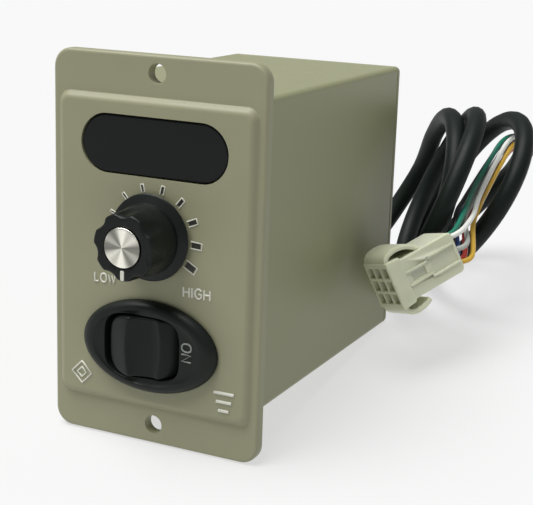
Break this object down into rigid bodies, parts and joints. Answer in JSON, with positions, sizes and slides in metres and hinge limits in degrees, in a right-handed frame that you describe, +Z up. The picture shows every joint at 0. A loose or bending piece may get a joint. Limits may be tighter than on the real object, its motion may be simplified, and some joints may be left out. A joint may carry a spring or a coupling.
{
  "type": "motor speed controller",
  "caption": "Panel-mounted motor speed controller with a display window, scalloped speed knob, oval rocker switch and a rear cable ending in a multi-way plug.",
  "frame": {"origin": "on the table under the middle of the controller's box, measured without the cable, its gland and its plug", "axes": "+X to the right of the front panel, +Y from the front panel towards the rear cover, +Z up; the controller leans back by 7.6 degrees, as it stands on its flange and case edge"},
  "size_m": [0.0973, 0.184, 0.1035],
  "materials": {
    "panel_plastic": "moulded olive-grey plastic with a fine satin texture",
    "case_plastic": "smooth olive-grey moulded plastic, semi-gloss",
    "black_plastic": "black moulded plastic, satin to semi-gloss",
    "smoked_window": "dark smoked display window, polished",
    "white_paint": "white filled pointer line",
    "aluminium": "spun face with fine concentric turning marks",
    "steel": "bright zinc-plated steel",
    "brass": "plain brass",
    "circuit_board": "green solder mask",
    "laminated_iron": "varnished iron laminations",
    "copper_winding": "enamelled copper winding",
    "film_yellow": "yellow potted film capacitor",
    "glass": "clear glass tube",
    "natural_nylon": "uncoloured nylon, slightly translucent",
    "cable_rubber": "black flexible jacket, satin",
    "core_green": "green core insulation",
    "core_white": "white core insulation",
    "core_grey": "grey core insulation",
    "core_yellow": "yellow core insulation",
    "core_red": "red core insulation",
    "core_blue": "blue core insulation",
    "core_black": "black core insulation"
  },
  "bodies": {
    "case": {"front_panel": "panel_plastic", "case_body": "case_plastic", "rear_cover": "case_plastic", "switch_housing": "black_plastic", "switch_base": "black_plastic", "cable_gland": "black_plastic", "display_module": "black_plastic", "capacitor_1": "black_plastic", "capacitor_2": "black_plastic", "triac": "black_plastic", "control_chip": "black_plastic", "window_lens": "smoked_window", "heat_sink": "aluminium", "cover_screw_1": "steel", "cover_screw_2": "steel", "cover_screw_3": "steel", "cover_screw_4": "steel", "pot_washer": "steel", "pot_body": "steel", "pot_nut": "brass", "pot_bushing": "brass", "switch_terminal_1": "brass", "switch_terminal_2": "brass", "contact_1": "brass", "contact_2": "brass", "contact_3": "brass", "contact_4": "brass", "contact_5": "brass", "contact_6": "brass", "contact_7": "brass", "display_board": "circuit_board", "pot_wafer": "circuit_board", "main_board": "circuit_board", "transformer_core": "laminated_iron", "transformer_coil": "copper_winding", "film_capacitor": "film_yellow", "fuse": "glass", "connector_housing": "natural_nylon", "wire_header": "natural_nylon", "cable_tie": "natural_nylon", "cable_sheath": "cable_rubber", "wire_green": "core_green", "wire_white": "core_white", "wire_grey": "core_grey", "wire_yellow": "core_yellow", "wire_red": "core_red", "wire_blue": "core_blue", "wire_black": "core_black"},
    "knob": {"knob_body": "black_plastic", "knob_cap": "aluminium", "knob_pointer": "white_paint", "knob_insert": "brass", "knob_set_screw": "steel", "pot_shaft": "steel", "pot_wiper": "brass"},
    "rocker": {"rocker": "black_plastic", "rocker_plunger": "natural_nylon", "rocker_spring": "steel"},
    "lever": {"contact_lever": "brass"}
  },
  "joints": [
    {"name": "knob_turn", "type": "hinge", "parent": "case", "child": "knob", "pos_m": [0, -0.04315, 0.05757], "axis": [0, 0.9912, -0.1323], "range_deg": [0, 300]},
    {"name": "rocker_tilt", "type": "hinge", "parent": "case", "child": "rocker", "pos_m": [-0.0015, -0.04601, 0.02814], "axis": [0, 0.1323, 0.9912], "range_deg": [-21, 0]},
    {"name": "lever_tilt", "type": "hinge", "parent": "case", "child": "lever", "pos_m": [-0.0015, -0.03586, 0.02678], "axis": [0, 0.1323, 0.9912], "range_deg": [0, 10.5]}
  ],
  "couplings": [
    {"joint": "lever_tilt", "follows": "rocker_tilt", "ratio": -0.5}
  ]
}
